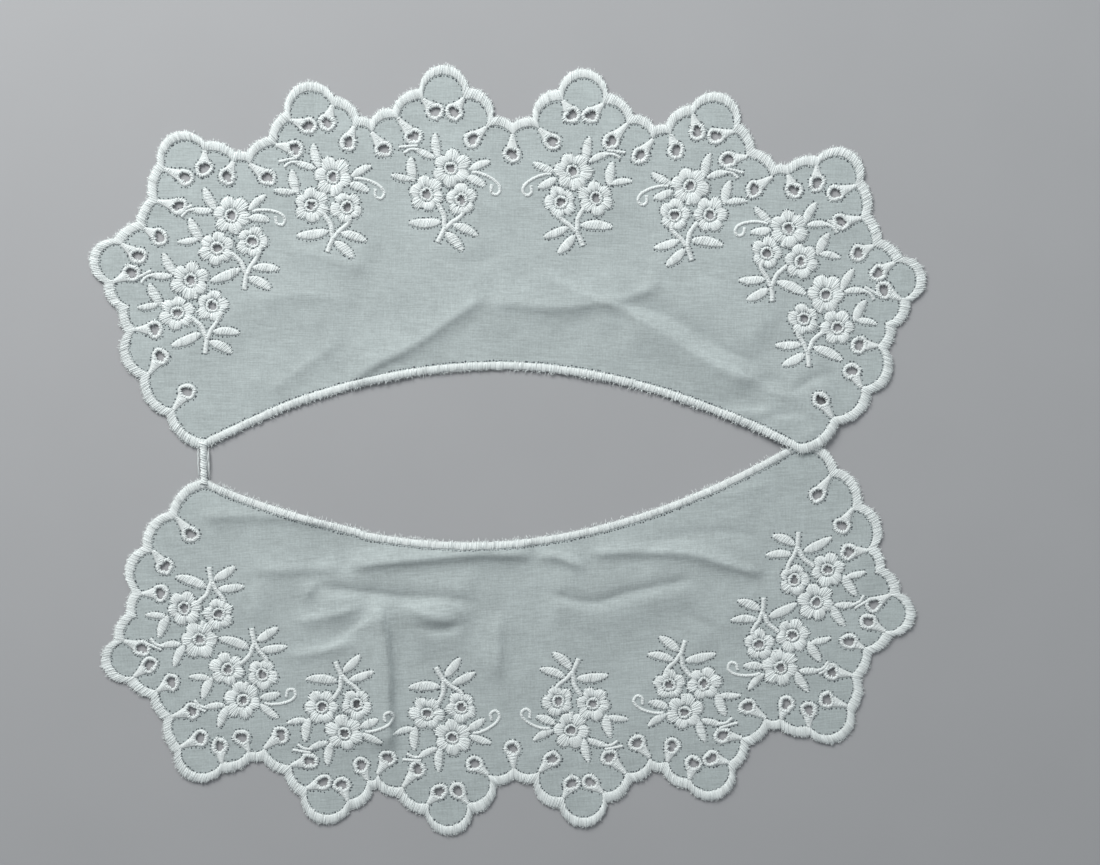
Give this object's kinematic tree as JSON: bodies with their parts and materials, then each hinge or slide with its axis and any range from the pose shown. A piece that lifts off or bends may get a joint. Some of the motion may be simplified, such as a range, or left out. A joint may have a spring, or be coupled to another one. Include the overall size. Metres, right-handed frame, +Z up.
{
  "type": "embroidered collar",
  "caption": "Flat collar of fine white cotton in two crescent halves, with a scalloped satin-stitched hem, pierced eyelets and flower sprays.",
  "frame": {"origin": "centre of the collar's box, on the surface that it lies on", "axes": "+X along the two halves to the side where the tips only meet, +Y across the neck opening to the upper half, +Z up from the surface, the embroidered face up"},
  "size_m": [0.3144, 0.2922, 0.0025],
  "materials": {
    "batiste": "thin plain-woven cotton, slightly sheer, matt",
    "scallop_satin": "close satin stitch in white cotton thread, soft sheen",
    "neck_satin": "narrow satin-stitched edge in white cotton thread, cut threads showing",
    "spray_satin": "raised satin stitch in white cotton thread, soft sheen",
    "bar_thread": "wrapped white cotton thread"
  },
  "bodies": {
    "root": {"upper_cloth": "batiste", "upper_scallop_edge": "scallop_satin", "upper_neck_edge": "neck_satin", "upper_spray_1": "spray_satin", "upper_spray_2": "spray_satin", "upper_spray_3": "spray_satin", "upper_spray_4": "spray_satin", "upper_spray_5": "spray_satin", "upper_spray_6": "spray_satin", "upper_spray_7": "spray_satin", "upper_spray_8": "spray_satin", "lower_cloth": "batiste", "lower_scallop_edge": "scallop_satin", "lower_neck_edge": "neck_satin", "lower_spray_1": "spray_satin", "lower_spray_2": "spray_satin", "lower_spray_3": "spray_satin", "lower_spray_4": "spray_satin", "lower_spray_5": "spray_satin", "lower_spray_6": "spray_satin", "lower_spray_7": "spray_satin", "lower_spray_8": "spray_satin", "joining_bar": "bar_thread"}
  },
  "joints": []
}
